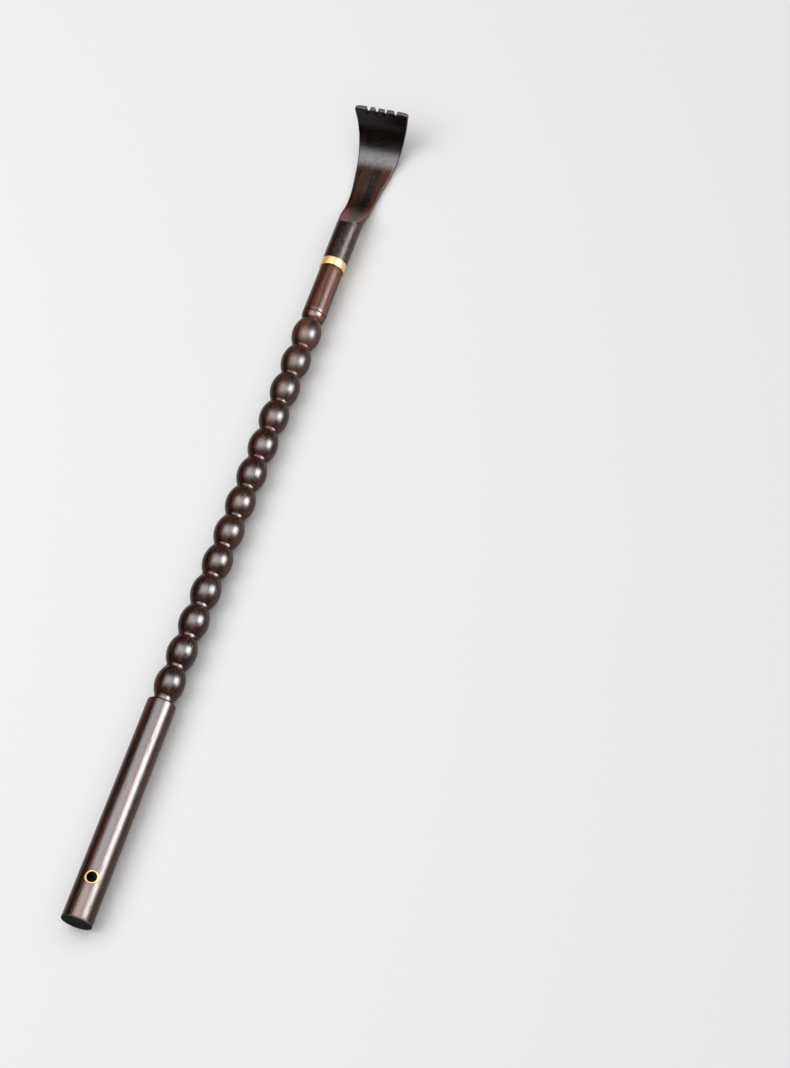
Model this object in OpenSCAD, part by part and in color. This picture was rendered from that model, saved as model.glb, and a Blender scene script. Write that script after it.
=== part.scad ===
// Back scratcher with a turned beaded shaft, a bent five-toothed claw head,
// a brass ring over the joint and a brass-lined hanging hole. Millimetres.
// It lies claw up on a table: +X runs from the butt to the claw, +Z is up,
// and the origin is on the table, half way along.

/* [Handle] */
// Length of the plain grip, from the butt to its top shoulder
handle_len = 122.4; // [90:0.1:160]
// Diameter of the grip at the butt
handle_butt_d = 16.2; // [15:0.1:20]
// Diameter of the grip at its top shoulder
handle_top_d = 15.4; // [14:0.1:19]
// Chamfer around the butt end
butt_edge = 0.4; // [0.2:0.1:1]
// Radius of the rounded top shoulder
shoulder_edge = 0.9; // [0.4:0.1:1.5]

/* [Beads] */
// Number of turned beads
bead_count = 13; // [6:1:16]
// Distance from one bead to the next
bead_pitch = 18.14; // [16:0.01:20]
// Largest diameter of a bead
bead_d = 15.8; // [14:0.1:18]
// Diameter of the collar between two beads
collar_d = 10.6; // [9:0.1:12]
// Length of the collar between two beads
collar_len = 1.7; // [1:0.1:3]
// Length of the plain neck between the grip and the first bead
root_len = 2.9; // [1.5:0.1:5]

/* [Stem] */
// Length of the plain stem above the beads, with its lower moulding
stem_len = 34.5; // [24:0.1:50]
// Diameter of the stem just above its lower moulding
stem_low_d = 13.2; // [12.5:0.1:15]
// Diameter of the stem at the brass ring
stem_top_d = 13; // [12.5:0.1:15]
// Gap between the last bead and the stem
stem_gap = 0.5; // [0.3:0.1:2]
// Diameter of the lower end of the stem, where its moulding starts
stem_foot_d = 11; // [10:0.1:12]
// Height of the quarter-round moulding at the lower end of the stem
stem_ring_len = 3.8; // [2.5:0.1:5]
// Width of the groove above that moulding
stem_groove_len = 0.6; // [0.3:0.1:1.2]
// Depth of the groove above that moulding
stem_groove_depth = 0.35; // [0.2:0.05:0.8]

/* [Joint] */
// Length of the brass ring along the shaft
ring_len = 5.1; // [3:0.1:8]
// Outer diameter of the brass ring
ring_d = 14.3; // [13.5:0.1:16]
// Edge chamfer of the brass ring
ring_edge = 0.3; // [0.1:0.1:0.6]
// Diameter of the tenon that carries the ring and enters the head
tenon_d = 9; // [7:0.1:10]
// Length of the tenon inside the head
tenon_len = 17; // [10:0.5:20]
// Chamfer on the end of the tenon
tenon_edge = 0.8; // [0.3:0.1:1.5]
// Radial gap for glue around the tenon
glue_gap = 0.1; // [0.05:0.05:0.2]
// Gap past the end of the tenon
socket_end_gap = 0.5; // [0.2:0.1:2]

/* [Claw head] */
// Diameter of the round neck
neck_d = 14.1; // [13:0.1:16]
// Length of the neck from the ring to the start of the scoop
neck_len = 24; // [20:0.5:40]
// Radius of the scoop that runs down from the neck
scoop_r = 45.5; // [35:0.5:70]
// Length of the level stretch of the blade
face_len = 13; // [6:0.5:25]
// Radius of the upturned bend, on the inner face
bend_r = 23.6; // [18:0.1:32]
// Angle that the blade turns up through
bend_angle = 76; // [60:1:85]
// Straight run from the bend to the tooth tips
tip_run = 6.1; // [4:0.1:10]
// Thickness of the blade at the heel
heel_t = 3.2; // [2.4:0.1:4.5]
// Thickness of the blade at the tooth tips
tip_t = 2.8; // [1.8:0.1:3.2]
// Width across the tooth tips
tip_w = 31.8; // [26:0.1:38]
// Length over which the side edges turn outwards
flare_blend = 24; // [12:0.5:36]
// Length from the start of the scoop to the start of the flare
flare_start = 10.5; // [6:0.5:20]
// Length past the start of the scoop over which the back stays round
round_len = 5; // [2:0.5:10]
// Length over which the back then turns from round to flat
flatten_len = 14; // [8:0.5:20]

/* [Teeth] */
// Number of notches between the teeth
notch_count = 4; // [2:1:5]
// Distance from one notch to the next
notch_pitch = 5.45; // [4:0.05:6]
// Width of a notch at its round root
notch_w = 1.5; // [1:0.1:2.2]
// Width of a notch at the tooth tips
notch_mouth_w = 2.3; // [2.2:0.1:3]
// Depth of a notch
notch_depth = 3; // [2:0.1:5]
// Chamfer on the two outer corners
corner_cut = 0.9; // [0.5:0.1:2]

/* [Hanging hole] */
// Distance of the hole from the butt
hang_from_butt = 22.1; // [12:0.1:40]
// Angle of the hole around the shaft, away from straight up
hang_turn = 12; // [0:1:30]
// Outer diameter of the brass liner
bush_d = 7.2; // [5.5:0.1:9]
// Diameter of the hole through the liner
bush_bore_d = 5.2; // [3.5:0.1:6.5]
// Height of the liner's ends above the wood
bush_proud = 0.15; // [0.05:0.05:0.3]
// Radial gap between the liner and the wood
bush_gap = 0.05; // [0.02:0.01:0.1]

/* [Hidden] */
$fn = 96;
rosewood = [0.20, 0.10, 0.07];
brass = [0.85, 0.68, 0.38];
// How far a cutter reaches past what it cuts
over = 1;

// Stations along the shaft, measured from the butt
beads_from = handle_len + root_len;
// A bead and one collar fill one pitch
bead_len = bead_pitch - collar_len;
first_bead = beads_from + bead_len / 2;
beads_to = first_bead + (bead_count - 1) * bead_pitch + bead_len / 2;
stem_from = beads_to + stem_gap;
stem_to = stem_from + stem_len;
head_from = stem_to + ring_len;
scoop_from = head_from + neck_len;

// A bead's outline is one arc through its crown and its two collars
bead_rise = (bead_d - collar_d) / 2;
bead_arc_r = (pow(bead_len / 2, 2) + pow(bead_rise, 2)) / (2 * bead_rise);

// Heights from the shaft axis: the butt and the heel both touch the table
axis_z = handle_butt_d / 2;
neck_r = neck_d / 2;
back_z = -axis_z;
face_z = back_z + heel_t;
scoop_drop = neck_r - face_z;
scoop_run = sqrt(pow(scoop_r, 2) - pow(scoop_r - scoop_drop, 2));
face_from = scoop_from + scoop_run;
bend_from = face_from + face_len;
overall_len = bend_from + (bend_r + tip_t) * sin(bend_angle) + tip_run * cos(bend_angle);

// Distance along the blade from the start of the flare to the tooth tips
arc_len = bend_r * bend_angle * PI / 180;
flare_from = scoop_from + flare_start;
flare_len = bend_from - flare_from + arc_len + tip_run;

// Sections of the blank that the claw is carved from
section_points = 28;
level_steps = 13;
bend_steps = 10;
tip_steps = 2;
scoop_steps = 10;
blank_from = scoop_from - over;
// Its first section stands just outside the round neck
blank_step = 0.02;
blank_r = neck_r / cos(180 / section_points) + blank_step;
flare_slope = (tip_w / 2 - blank_r) / (flare_len - flare_blend / 2);
neck_power = 2;
blade_power = 5;
side_share = 0.6;
blank_cover = 2.5;

function ease(f) = let (c = max(0, min(1, f))) c * c * (3 - 2 * c);
function mix(a, b, f) = a + (b - a) * f;

// Half width of the blade at a distance along it from the start of the flare
function half_width(s) =
    s <= 0 ? blank_r :
    blank_r + flare_slope * (s < flare_blend ? s * s / (2 * flare_blend) : s - flare_blend / 2);

// Thickness of the blade past the start of the bend
function blade_t(s) = mix(heel_t, tip_t, s / (arc_len + tip_run));

// A power curve through one quarter of a section
function quarter(v, power) = sign(v) * pow(abs(v), 2 / power);

// One section as [across, height above the back] points, widest at the height given by low
function section(half_w, low, high, power) = [
    for (i = [0 : section_points - 1])
    let (
        a = 360 * i / section_points,
        h = quarter(sin(a), power)
    )
    [half_w * quarter(cos(a), power), low + h * (h < 0 ? low : high)]
];

// A section that stands upright at a distance from the butt
function upright_section(x) =
    let (
        f = ease((x - scoop_from) / scoop_run),
        flat = ease((x - scoop_from - round_len) / flatten_len),
        low = mix(blank_r, heel_t * side_share, f),
        high = mix(blank_r, heel_t * (1 - side_share) + blank_cover, f),
        back = mix(-blank_r, back_z, f)
    )
    [
        for (p = section(half_width(x - flare_from), low, high, mix(neck_power, blade_power, flat)))
        [x, p[0], back + p[1]]
    ];

// A section square to the blade, at an angle round the bend and a run past its end
function bent_section(angle, run) =
    let (
        s = bend_r * angle * PI / 180 + run,
        t = blade_t(s),
        low = t * side_share,
        high = t * (1 - side_share) + blank_cover
    )
    [
        for (p = section(half_width(bend_from - flare_from + s), low, high, blade_power))
        let (r = bend_r + t - p[1])
        [
            bend_from + r * sin(angle) + run * cos(angle),
            p[0],
            face_z + bend_r - r * cos(angle) + run * sin(angle)
        ]
    ];

blank_sections = concat(
    [for (i = [0 : level_steps]) upright_section(mix(blank_from, bend_from, i / level_steps))],
    [for (i = [1 : bend_steps]) bent_section(bend_angle * i / bend_steps, 0)],
    [for (i = [1 : tip_steps]) bent_section(bend_angle, tip_run * i / tip_steps)]
);

// A solid skinned over a row of closed sections with equal point counts
module skin(sections) {
    rows = len(sections);
    n = len(sections[0]);
    points = [for (s = sections) each s];
    sides = [
        for (j = [0 : rows - 2], i = [0 : n - 1])
        let (
            a = j * n + i,
            b = j * n + (i + 1) % n
        )
        each [[a, b + n, b], [a, a + n, b + n]]
    ];
    near_end = [for (i = [1 : n - 2]) [0, i, i + 1]];
    far_end = [for (i = [1 : n - 2]) [0, i + 1, i] + (rows - 1) * [n, n, n]];
    polyhedron(points, concat(sides, near_end, far_end));
}

// Stands the turned pieces, drawn along Z from the butt, along the shaft
module along_shaft() {
    translate([-overall_len / 2, 0, axis_z])
        rotate([0, 90, 0])
            children();
}

// Places the carved pieces, drawn along X from the butt on the shaft axis
module on_shaft() {
    translate([-overall_len / 2, 0, axis_z])
        children();
}

// Puts X along the blade past the bend and Z towards the centre of the bend
module at_tip() {
    translate([bend_from, 0, face_z + bend_r])
        rotate([0, -bend_angle, 0])
            children();
}

// Puts Z along the hanging hole, with its middle on the shaft axis
module at_hang_hole() {
    translate([hang_from_butt, 0, 0])
        rotate([hang_turn, 0, 0])
            children();
}

// Side outline of the space in front of the claw's inner face: down the scoop from above the
// neck, along the level stretch, up the bend and straight past the tooth tips
scoop_entry = acos((scoop_r - scoop_drop - over) / scoop_r);
scoop_outline = concat(
    [for (i = [0 : scoop_steps])
        let (a = scoop_entry * (i / scoop_steps - 1))
        [face_from + scoop_r * sin(a), face_z + scoop_r * (1 - cos(a))]],
    [for (i = [0 : 2 * bend_steps])
        let (a = bend_angle * i / (2 * bend_steps))
        [bend_from + bend_r * sin(a), face_z + bend_r * (1 - cos(a))]],
    [[
        bend_from + bend_r * sin(bend_angle) + (tip_run + over) * cos(bend_angle),
        face_z + bend_r * (1 - cos(bend_angle)) + (tip_run + over) * sin(bend_angle)
    ]],
    [[
        scoop_from,
        face_z + bend_r * (1 - cos(bend_angle)) + (tip_run + over) * sin(bend_angle)
    ]]
);

// Everything in front of the claw's inner face
module scoop() {
    rotate([90, 0, 0])
        linear_extrude(2 * tip_w, center = true)
            polygon(scoop_outline);
}

// Lowers a cutter of the given outline through the blade at its tips
module through_tips() {
    at_tip()
        translate([0, 0, -bend_r - heel_t - over])
            linear_extrude(heel_t + 2 * over)
                children();
}

// Notches with a round root, a little wider at the tips
module notches() {
    rise = notch_depth - notch_w / 2;
    root = tip_run - rise;
    flare = (notch_mouth_w - notch_w) / 2 * (rise + over) / rise;
    through_tips()
        for (i = [0 : notch_count - 1])
            translate([root, (i - (notch_count - 1) / 2) * notch_pitch]) {
                circle(d = notch_w);
                polygon([
                    [0, -notch_w / 2],
                    [rise + over, -notch_w / 2 - flare],
                    [rise + over, notch_w / 2 + flare],
                    [0, notch_w / 2]
                ]);
            }
}

module corner_cuts() {
    through_tips()
        for (end = [-1, 1])
            translate([tip_run, end * tip_w / 2])
                polygon([[-corner_cut, over * end], [over, over * end], [over, -corner_cut * end],
                    [0, -corner_cut * end], [-corner_cut, 0]]);
}

module socket() {
    translate([head_from - over, 0, 0])
        rotate([0, 90, 0])
            cylinder(d = tenon_d + 2 * glue_gap, h = over + tenon_len + socket_end_gap);
}

module claw_head() {
    color(rosewood)
        on_shaft()
            difference() {
                union() {
                    translate([head_from, 0, 0])
                        rotate([0, 90, 0])
                            cylinder(d = neck_d, h = neck_len);
                    skin(blank_sections);
                }
                scoop();
                notches();
                corner_cuts();
                socket();
            }
}

module ferrule() {
    color(brass)
        along_shaft()
            translate([0, 0, stem_to])
                difference() {
                    union() {
                        cylinder(d1 = ring_d - 2 * ring_edge, d2 = ring_d, h = ring_edge);
                        translate([0, 0, ring_edge])
                            cylinder(d = ring_d, h = ring_len - 2 * ring_edge);
                        translate([0, 0, ring_len - ring_edge])
                            cylinder(d1 = ring_d, d2 = ring_d - 2 * ring_edge, h = ring_edge);
                    }
                    translate([0, 0, -over])
                        cylinder(d = tenon_d + 2 * glue_gap, h = ring_len + 2 * over);
                }
}

// Half outline of one bead, on its middle
module bead_outline() {
    intersection() {
        translate([bead_d / 2 - bead_arc_r, 0])
            circle(r = bead_arc_r);
        translate([0, -bead_len / 2])
            square([bead_d, bead_len]);
    }
}

// Half outline of the grip, with its chamfered butt and rounded shoulder
module grip_outline() {
    polygon([
        [0, 0],
        [handle_butt_d / 2 - butt_edge, 0],
        [handle_butt_d / 2, butt_edge],
        [handle_top_d / 2, handle_len - shoulder_edge],
        [handle_top_d / 2 - shoulder_edge, handle_len],
        [0, handle_len]
    ]);
    translate([handle_top_d / 2 - shoulder_edge, handle_len - shoulder_edge])
        circle(r = shoulder_edge);
}

// Half outline of the stem: a quarter-round moulding, a groove and a plain length up to the ring
module stem_outline() {
    low_r = stem_low_d / 2;
    groove_r = low_r - stem_groove_depth;
    groove_to = stem_ring_len + stem_groove_len;
    foot_rise = (stem_low_d - stem_foot_d) / 2;
    foot_arc_r = (pow(stem_ring_len, 2) + pow(foot_rise, 2)) / (2 * foot_rise);
    intersection() {
        translate([low_r - foot_arc_r, stem_ring_len])
            circle(r = foot_arc_r);
        square([low_r, stem_ring_len]);
    }
    polygon([
        [0, stem_ring_len],
        [groove_r, stem_ring_len],
        [groove_r, groove_to],
        [low_r, groove_to],
        [stem_top_d / 2, stem_len],
        [0, stem_len]
    ]);
}

module beaded_shaft() {
    color(rosewood)
        along_shaft()
            difference() {
                union() {
                    rotate_extrude() grip_outline();
                    translate([0, 0, handle_len])
                        cylinder(d = collar_d, h = root_len);
                    for (i = [0 : bead_count - 1])
                        translate([0, 0, first_bead + i * bead_pitch])
                            rotate_extrude() bead_outline();
                    for (i = [0 : bead_count - 2])
                        translate([0, 0, beads_from + bead_len + i * bead_pitch])
                            cylinder(d = collar_d, h = collar_len);
                    translate([0, 0, beads_to])
                        cylinder(d = collar_d, h = stem_gap);
                    translate([0, 0, stem_from])
                        rotate_extrude() stem_outline();
                    translate([0, 0, stem_to])
                        cylinder(d = tenon_d, h = ring_len + tenon_len - tenon_edge);
                    translate([0, 0, head_from + tenon_len - tenon_edge])
                        cylinder(d1 = tenon_d, d2 = tenon_d - 2 * tenon_edge, h = tenon_edge);
                }
                rotate([0, -90, 0])
                    at_hang_hole()
                        cylinder(d = bush_d + 2 * bush_gap, h = 2 * handle_butt_d, center = true);
            }
}

// The brass liner, its ends trimmed to the round of the grip
module hang_bush() {
    grown = 2 * bush_proud;
    color(brass)
        on_shaft()
            difference() {
                intersection() {
                    at_hang_hole()
                        cylinder(d = bush_d, h = 2 * handle_butt_d, center = true);
                    rotate([0, 90, 0])
                        cylinder(d1 = handle_butt_d + grown, d2 = handle_top_d + grown, h = handle_len);
                }
                at_hang_hole()
                    cylinder(d = bush_bore_d, h = 2 * handle_butt_d, center = true);
            }
}

claw_head();
ferrule();
beaded_shaft();
hang_bush();
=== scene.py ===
from math import acos, asin, cos, degrees, pi, radians, sin, sqrt

import bmesh
import bpy
from mathutils import Matrix, Vector


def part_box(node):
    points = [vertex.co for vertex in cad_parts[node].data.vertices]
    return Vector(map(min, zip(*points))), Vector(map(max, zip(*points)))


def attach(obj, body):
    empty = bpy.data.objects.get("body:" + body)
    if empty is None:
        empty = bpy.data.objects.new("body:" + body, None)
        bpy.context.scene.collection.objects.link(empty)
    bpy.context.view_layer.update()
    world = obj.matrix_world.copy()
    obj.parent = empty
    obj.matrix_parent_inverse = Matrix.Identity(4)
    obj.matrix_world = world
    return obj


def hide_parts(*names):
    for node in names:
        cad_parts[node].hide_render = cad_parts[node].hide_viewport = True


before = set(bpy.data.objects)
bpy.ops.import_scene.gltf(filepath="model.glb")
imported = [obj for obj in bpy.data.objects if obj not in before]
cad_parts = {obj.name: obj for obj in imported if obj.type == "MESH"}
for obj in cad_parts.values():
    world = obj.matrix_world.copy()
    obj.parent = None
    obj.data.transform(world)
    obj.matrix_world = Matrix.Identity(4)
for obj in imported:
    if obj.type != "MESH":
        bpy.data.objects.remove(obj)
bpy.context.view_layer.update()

MM = 0.001

# Places that the frame gives
shaft_low, shaft_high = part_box("beaded_shaft")
ring_low, ring_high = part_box("ferrule")
bush_low, bush_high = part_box("hang_bush")
BUTT_X = shaft_low.x
STEM_TOP_X = ring_low.x
HEAD_X = ring_high.x
HANG_X = (bush_low.x + bush_high.x) / 2
BUTT_R = (shaft_high.y - shaft_low.y) / 2
RING_R = (ring_high.y - ring_low.y) / 2
AXIS = Vector((0, 0, (ring_low.z + ring_high.z) / 2))

# Sizes of the grip
HANDLE_LEN = 122.4 * MM
HANDLE_TOP_R = 7.7 * MM
BUTT_EDGE = 0.5 * MM
SHOULDER_EDGE = 1.2 * MM
ROOT_LEN = 2.9 * MM

# Sizes of the beads and of the collars between them
BEAD_COUNT = 13
BEAD_PITCH = 18.14 * MM
BEAD_R = 7.9 * MM
COLLAR_R = 5.3 * MM
COLLAR_LEN = 1.7 * MM
COLLAR_EDGE = 0.25 * MM
NICK_WIDTH = 0.2 * MM
NICK_DEPTH = 0.2 * MM

# Sizes of the stem and of its tenon
STEM_GAP = 0.5 * MM
STEM_LOW_R = 6.6 * MM
STEM_TOP_R = 6.5 * MM
STEM_FOOT_R = 5.5 * MM
STEM_RING_LEN = 3.8 * MM
STEM_GROOVE_LEN = 0.6 * MM
STEM_GROOVE_DEPTH = 0.4 * MM
STEM_LIP = 0.2 * MM
TENON_R = 4.5 * MM
TENON_LEN = 17 * MM

# Sizes of the brass
RING_BORE_R = 4.6 * MM
RING_EDGE = 0.3 * MM
BUSH_R = 3.6 * MM
BUSH_BORE_R = 2.6 * MM
BUSH_PROUD = 0.15 * MM
BUSH_LIP = 0.3 * MM
HANG_TURN = radians(12)

# Sizes of the claw head
NECK_R = 7.05 * MM
NECK_LEN = 24 * MM
NECK_EDGE = 0.15 * MM
SCOOP_R = 45.5 * MM
FACE_LEN = 13 * MM
BEND_R = 23.6 * MM
BEND_ANGLE = radians(76)
TIP_RUN = 6.1 * MM
HEEL_T = 3.2 * MM
TIP_T = 2.8 * MM
TIP_HALF_W = 15.9 * MM
FLARE_BLEND = 24 * MM
FLARE_START = 10.5 * MM
ROUND_LEN = 5 * MM
FLATTEN_LEN = 14 * MM
SIDE_SHARE = 0.6
BLANK_COVER = 2.5 * MM
NECK_POWER = 2
BLADE_POWER = 5
FACE_EDGE = 0.25 * MM
SOCKET_R = 4.6 * MM
SOCKET_LEN = 17.5 * MM

# The teeth: the two sides of each filed notch across the blade, at its root and at its mouth, in
# millimetres
NOTCH_ROOTS = ((8.95, 7.4), (3.7, 2.4), (-1.4, -2.4), (-7.3, -8.3))
NOTCH_MOUTHS = ((9.3, 6.9), (4.4, 2.1), (-1.3, -3.0), (-6.8, -9.0))
NOTCH_DEPTH = 3 * MM
NOTCH_ROOT_R = 0.5 * MM
TOOTH_CORNER_R = 1.2 * MM
TOOTH_EDGE = 0.25 * MM

# How finely the turned pieces are drawn
TURN_STEPS = 96
HOLE_STEPS = 64
GRIP_STEPS = 60
BUTT_STEPS = 6
SHOULDER_STEPS = 8
COLLAR_STEPS = 4
BEAD_STEPS = 28
MOULDING_STEPS = 14
STEM_STEPS = 16
LIP_STEPS = 4
RING_STEPS = 5
LINER_STEPS = 6

# Points this near lie at the same place, and vertices this near are one
NEAR = 0.01 * MM
SAME = 0.001 * MM
# Stands for the length of a step that has none, because that can't be divided by
TINY = 1e-12

# Edges that turn less than this are shaded smooth
SHAFT_SMOOTH = radians(40)
RING_SMOOTH = radians(35)
LINER_SMOOTH = radians(50)
HEAD_SMOOTH = radians(35)


# Modelling helpers

def deselect():
    if bpy.context.mode != "OBJECT":
        bpy.ops.object.mode_set(mode="OBJECT")
    bpy.ops.object.select_all(action="DESELECT")


def only(piece):
    deselect()
    piece.select_set(True)
    bpy.context.view_layer.objects.active = piece


def start_outline(name, point):
    """One vertex to draw an outline from, left in edit mode."""
    deselect()
    bpy.ops.mesh.primitive_plane_add(size=MM)
    piece = bpy.context.object
    piece.name = name
    piece.data.name = name
    bpy.ops.object.mode_set(mode="EDIT")
    bpy.ops.mesh.select_mode(type="VERT")
    bpy.ops.mesh.select_all(action="SELECT")
    bpy.ops.mesh.merge(type="CENTER")
    bpy.ops.transform.translate(value=point)
    return piece


def draw_outline(name, points):
    """An open chain of edges through the points, left in edit mode."""
    piece = start_outline(name, points[0])
    for here, there in zip(points, points[1:]):
        bpy.ops.mesh.extrude_vertices_move(TRANSFORM_OT_translate={"value": there - here})
    return piece


def turn(name, points, centre, axis):
    """A turned piece: its half outline spun once around an axis."""
    piece = draw_outline(name, points)
    bpy.ops.mesh.select_all(action="SELECT")
    bpy.ops.mesh.spin(steps=TURN_STEPS, angle=2 * pi, center=centre, axis=axis)
    bpy.ops.mesh.select_all(action="SELECT")
    bpy.ops.mesh.remove_doubles(threshold=SAME)
    bpy.ops.mesh.normals_make_consistent(inside=False)
    bpy.ops.object.mode_set(mode="OBJECT")
    return piece


def cut(piece, cutter):
    """Takes the cutter's solid out of the piece."""
    modifier = piece.modifiers.new("cut", "BOOLEAN")
    modifier.operation = "DIFFERENCE"
    modifier.solver = "EXACT"
    modifier.object = cutter
    only(piece)
    bpy.ops.object.modifier_apply(modifier=modifier.name)
    bpy.data.objects.remove(cutter)


def pick(piece, kind, wanted):
    """Selects the vertices, edges or faces that the test wants, in edit mode."""
    bpy.ops.mesh.select_mode(type=kind)
    bpy.ops.mesh.select_all(action="DESELECT")
    shape = bmesh.from_edit_mesh(piece.data)
    for item in {"VERT": shape.verts, "EDGE": shape.edges, "FACE": shape.faces}[kind]:
        if wanted(item):
            item.select_set(True)
    bmesh.update_edit_mesh(piece.data)


def finish_piece(piece, node, material, smooth_angle):
    only(piece)
    bpy.ops.object.transform_apply(location=True, rotation=True, scale=True)
    bpy.ops.object.shade_smooth_by_angle(angle=smooth_angle)
    piece.data.materials.clear()
    piece.data.materials.append(material)
    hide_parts(node)
    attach(piece, "root")
    return piece


def mix(a, b, share):
    return a + (b - a) * share


def ease(share):
    held = max(0, min(1, share))
    return held * held * (3 - 2 * held)


# The turned shaft

# The butt's rounded edge stops at this angle, just short of the taper that follows it
BUTT_EDGE_STOP = 92
# Long enough to pass right through the grip
HOLE_CUTTER_LEN = 6 * BUTT_R


def on_axis(x, r):
    """A point of a half outline: a distance from the butt and a radius."""
    return Vector((BUTT_X + x, 0, AXIS.z + r))


def arc(x, r, radius, start, stop, steps):
    """Outline points round a centre, from one angle to another, in degrees up from +X."""
    turns = [radians(mix(start, stop, i / steps)) for i in range(steps + 1)]
    return [on_axis(x + radius * cos(a), r + radius * sin(a)) for a in turns]


def taper(x, to_x, r, to_r, steps):
    """Outline points along a straight taper, without its two ends."""
    shares = [i / steps for i in range(1, steps)]
    return [on_axis(mix(x, to_x, share), mix(r, to_r, share)) for share in shares]


def grip_outline():
    shoulder = HANDLE_LEN - SHOULDER_EDGE
    butt_r = BUTT_R - BUTT_EDGE
    shoulder_r = HANDLE_TOP_R - SHOULDER_EDGE
    points = [on_axis(0, 0), on_axis(0, BUTT_R / 2)]
    points += arc(BUTT_EDGE, butt_r, BUTT_EDGE, 180, BUTT_EDGE_STOP, BUTT_STEPS)
    points += taper(BUTT_EDGE, shoulder, BUTT_R, HANDLE_TOP_R, GRIP_STEPS)
    points += arc(shoulder, shoulder_r, SHOULDER_EDGE, 90, 0, SHOULDER_STEPS)
    points += [on_axis(HANDLE_LEN, COLLAR_R + NICK_DEPTH)]
    return points


def collar_outline(x, length):
    """A collar with rounded edges and a fine nick on either side."""
    floor_r = COLLAR_R - NICK_DEPTH
    edge_r = COLLAR_R - COLLAR_EDGE
    low = x + NICK_WIDTH
    high = x + length - NICK_WIDTH
    points = [on_axis(x, floor_r), on_axis(low, floor_r)]
    points += arc(low + COLLAR_EDGE, edge_r, COLLAR_EDGE, 180, 90, COLLAR_STEPS)
    points += arc(high - COLLAR_EDGE, edge_r, COLLAR_EDGE, 90, 0, COLLAR_STEPS)
    points += [on_axis(high, floor_r), on_axis(x + length, floor_r)]
    return points


def bead_outline(middle):
    """One arc through the crown of the bead and its two collars."""
    half = (BEAD_PITCH - COLLAR_LEN) / 2
    rise = BEAD_R - COLLAR_R
    arc_r = (half * half + rise * rise) / (2 * rise)
    reach = degrees(asin(half / arc_r))
    return arc(middle, BEAD_R - arc_r, arc_r, 90 + reach, 90 - reach, BEAD_STEPS)


def moulding_outline(groove):
    """The quarter-round moulding at the foot of the stem, up to the groove."""
    rise = STEM_LOW_R - STEM_FOOT_R
    arc_r = (STEM_RING_LEN * STEM_RING_LEN + rise * rise) / (2 * rise)
    reach = degrees(asin(STEM_RING_LEN / arc_r))
    return arc(groove, STEM_LOW_R - arc_r, arc_r, 90 + reach, 90, MOULDING_STEPS)


def stem_outline(x):
    """The moulding, the groove, the plain stem and the tenon."""
    groove = x + STEM_RING_LEN
    upper = groove + STEM_GROOVE_LEN
    floor_r = STEM_LOW_R - STEM_GROOVE_DEPTH
    top = STEM_TOP_X - BUTT_X
    tenon_end = HEAD_X - BUTT_X + TENON_LEN
    points = moulding_outline(groove)
    points += [on_axis(groove, floor_r), on_axis(upper, floor_r)]
    points += arc(upper + STEM_LIP, STEM_LOW_R - STEM_LIP, STEM_LIP, 180, 90, LIP_STEPS)
    points += taper(upper + STEM_LIP, top - STEM_LIP, STEM_LOW_R, STEM_TOP_R, STEM_STEPS)
    points += arc(top - STEM_LIP, STEM_TOP_R - STEM_LIP, STEM_LIP, 90, 0, LIP_STEPS)
    points += [on_axis(top, TENON_R), on_axis(tenon_end - STEM_LIP, TENON_R)]
    points += [on_axis(tenon_end, TENON_R - STEM_LIP), on_axis(tenon_end, 0)]
    return points


def shaft_outline():
    bead_len = BEAD_PITCH - COLLAR_LEN
    floor_r = COLLAR_R - NICK_DEPTH
    x = HANDLE_LEN + ROOT_LEN
    points = grip_outline() + collar_outline(HANDLE_LEN, ROOT_LEN)
    for number in range(BEAD_COUNT):
        points += bead_outline(x + bead_len / 2)
        if number < BEAD_COUNT - 1:
            points += collar_outline(x + bead_len, COLLAR_LEN)
            x += BEAD_PITCH
    gap_from = x + bead_len
    gap_to = gap_from + STEM_GAP
    points += [on_axis(gap_from, floor_r), on_axis(gap_to, floor_r)]
    return points + stem_outline(gap_to)


def make_shaft(material):
    piece = turn("turned_shaft", shaft_outline(), AXIS, (1, 0, 0))
    deselect()
    bpy.ops.mesh.primitive_cylinder_add(
        vertices=HOLE_STEPS, radius=BUSH_R, depth=HOLE_CUTTER_LEN,
        location=(HANG_X, 0, AXIS.z), rotation=(HANG_TURN, 0, 0))
    cut(piece, bpy.context.object)
    return finish_piece(piece, "beaded_shaft", material, SHAFT_SMOOTH)


# The brass ring and liner

# The straight part of the liner's wall, as a share of its half length, and the levels of its
# points, as shares of that part
LINER_STRAIGHT = 0.85
LINER_LEVELS = (0, 0.35, 0.7, 1)


def make_ring(material):
    low = STEM_TOP_X - BUTT_X
    high = HEAD_X - BUTT_X
    edge_r = RING_R - RING_EDGE
    points = arc(low + RING_EDGE, edge_r, RING_EDGE, 180, 90, RING_STEPS)
    points += arc(high - RING_EDGE, edge_r, RING_EDGE, 90, 0, RING_STEPS)
    points += [on_axis(high, RING_BORE_R), on_axis(low, RING_BORE_R)]
    points += [points[0]]
    piece = turn("brass_ring", points, AXIS, (1, 0, 0))
    return finish_piece(piece, "ferrule", material, RING_SMOOTH)


def liner_lip(r, height, start, stop):
    """The rounded edge of the liner around a centre, from one angle to another."""
    turns = [radians(mix(start, stop, i / LINER_STEPS)) for i in range(LINER_STEPS + 1)]
    return [Vector((r + BUSH_LIP * cos(a), 0, height + BUSH_LIP * sin(a))) for a in turns]


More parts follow.
